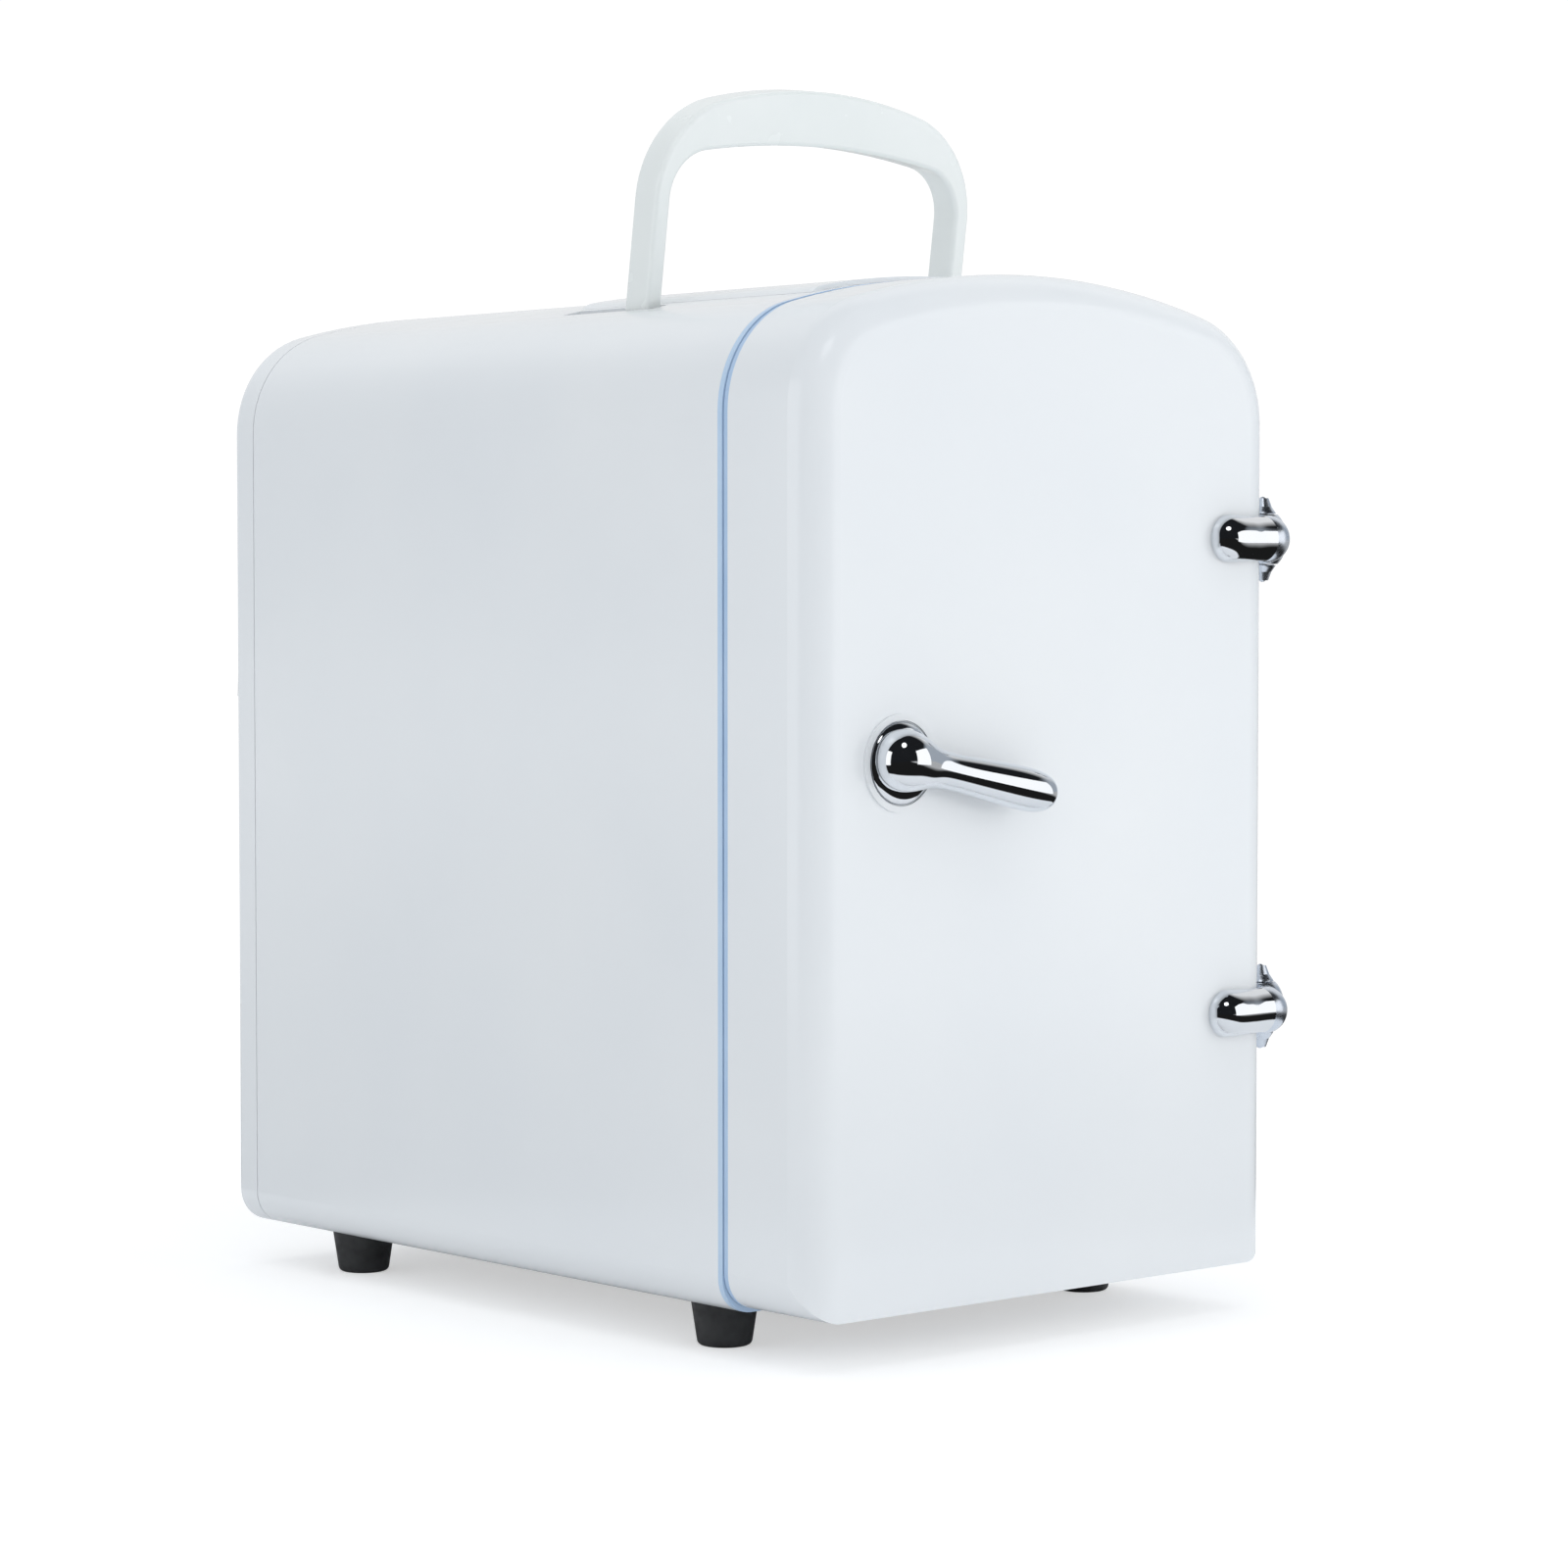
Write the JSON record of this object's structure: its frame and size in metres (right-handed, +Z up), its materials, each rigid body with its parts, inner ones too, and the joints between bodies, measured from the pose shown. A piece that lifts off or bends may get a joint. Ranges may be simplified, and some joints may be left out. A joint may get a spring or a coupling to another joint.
{
  "type": "mini fridge",
  "caption": "Compact retro thermoelectric cooler and warmer with an arched white case, chrome lever latch, corner hinges, folding carrying handle and rubber feet",
  "frame": {"origin": "middle of the whole outline on the floor, with the door shut, the handle raised and the lever at rest", "axes": "+X to the right seen from the front, towards the hinges; +Y from the door to the back; +Z up"},
  "size_m": [0.189, 0.2937, 0.3531],
  "materials": {
    "case_white": "high gloss moulded",
    "liner_white": "satin moulded",
    "seam_blue": "satin moulded",
    "gasket": "soft pale blue",
    "foam": "foamed, open texture",
    "clear_shelf": "clear moulded",
    "sink": "extruded, plain",
    "ceramic": "fine ceramic",
    "fan_black": "fine textured",
    "board": "coated laminate",
    "electronic": "satin",
    "lead": "insulated wire",
    "rubber": "matte",
    "chrome": "mirror polish",
    "steel": "zinc plated"
  },
  "bodies": {
    "case": {"cabinet_shell": "case_white", "front_bezel": "seam_blue", "inner_liner": "liner_white", "cabinet_foam": "foam", "rear_bulkhead": "liner_white", "rear_cover": "case_white", "rear_cover_screws": "steel", "shelf": "clear_shelf", "cold_fan_grille": "liner_white", "cold_fan_frame": "fan_black", "cold_fan_screws": "steel", "cold_sink": "sink", "cold_block": "sink", "cooling_module": "ceramic", "hot_sink": "sink", "hot_fan_frame": "fan_black", "hot_fan_screws": "steel", "clamp_screws": "steel", "power_board": "board", "board_components": "electronic", "board_posts": "case_white", "board_screws": "steel", "switch_housing": "fan_black", "ac_inlet": "fan_black", "dc_inlet": "fan_black", "module_leads": "lead", "fan_lead": "lead", "foot_front_left": "rubber", "foot_front_right": "rubber", "foot_rear_left": "rubber", "foot_rear_right": "rubber", "foot_screws": "steel", "handle_cups": "case_white", "handle_pins": "steel", "handle_saddle": "case_white", "latch_keeper": "steel", "keeper_screws": "steel", "hinge_bracket_lower": "chrome", "hinge_bracket_upper": "chrome", "hinge_pins": "steel", "hinge_leaf_screws": "chrome"},
    "door": {"door_shell": "case_white", "door_foam": "foam", "door_liner": "liner_white", "door_gasket": "gasket", "door_bin": "clear_shelf", "lever_collar": "case_white", "latch_bush": "liner_white", "hinge_arm_lower": "chrome", "hinge_arm_upper": "chrome", "hinge_arm_screws": "steel"},
    "lever": {"latch_lever": "chrome", "lever_rosette": "chrome", "latch_shaft": "steel", "latch_tongue": "steel", "shaft_clip": "steel"},
    "bail": {"handle": "case_white"},
    "rocker": {"mode_rocker": "fan_black"},
    "cold_rotor": {"cold_fan_rotor": "fan_black"},
    "hot_rotor": {"hot_fan_rotor": "fan_black"}
  },
  "joints": [
    {"name": "door_swing", "type": "hinge", "parent": "case", "child": "door", "pos_m": [0.0876, -0.1226, 0.155], "axis": [0, 0, 1], "range_deg": [0, 115]},
    {"name": "lever_turn", "type": "hinge", "parent": "door", "child": "lever", "pos_m": [-0.063, -0.1306, 0.162], "axis": [0, 1, 0], "range_deg": [0, 75]},
    {"name": "handle_fold", "type": "hinge", "parent": "case", "child": "bail", "pos_m": [-0.0054, -0.0226, 0.2826], "axis": [-1, 0, 0], "range_deg": [0, 76]},
    {"name": "mode_select", "type": "hinge", "parent": "case", "child": "rocker", "pos_m": [-0.0534, 0.1341, 0.062], "axis": [1, 0, 0], "range_deg": [-10, 10]},
    {"name": "hot_fan_spin", "type": "hinge", "parent": "case", "child": "hot_rotor", "pos_m": [-0.0054, 0.1214, 0.206], "axis": [0, 1, 0], "continuous": true},
    {"name": "cold_fan_spin", "type": "hinge", "parent": "case", "child": "cold_rotor", "pos_m": [-0.0054, 0.0499, 0.206], "axis": [0, 1, 0], "continuous": true}
  ]
}
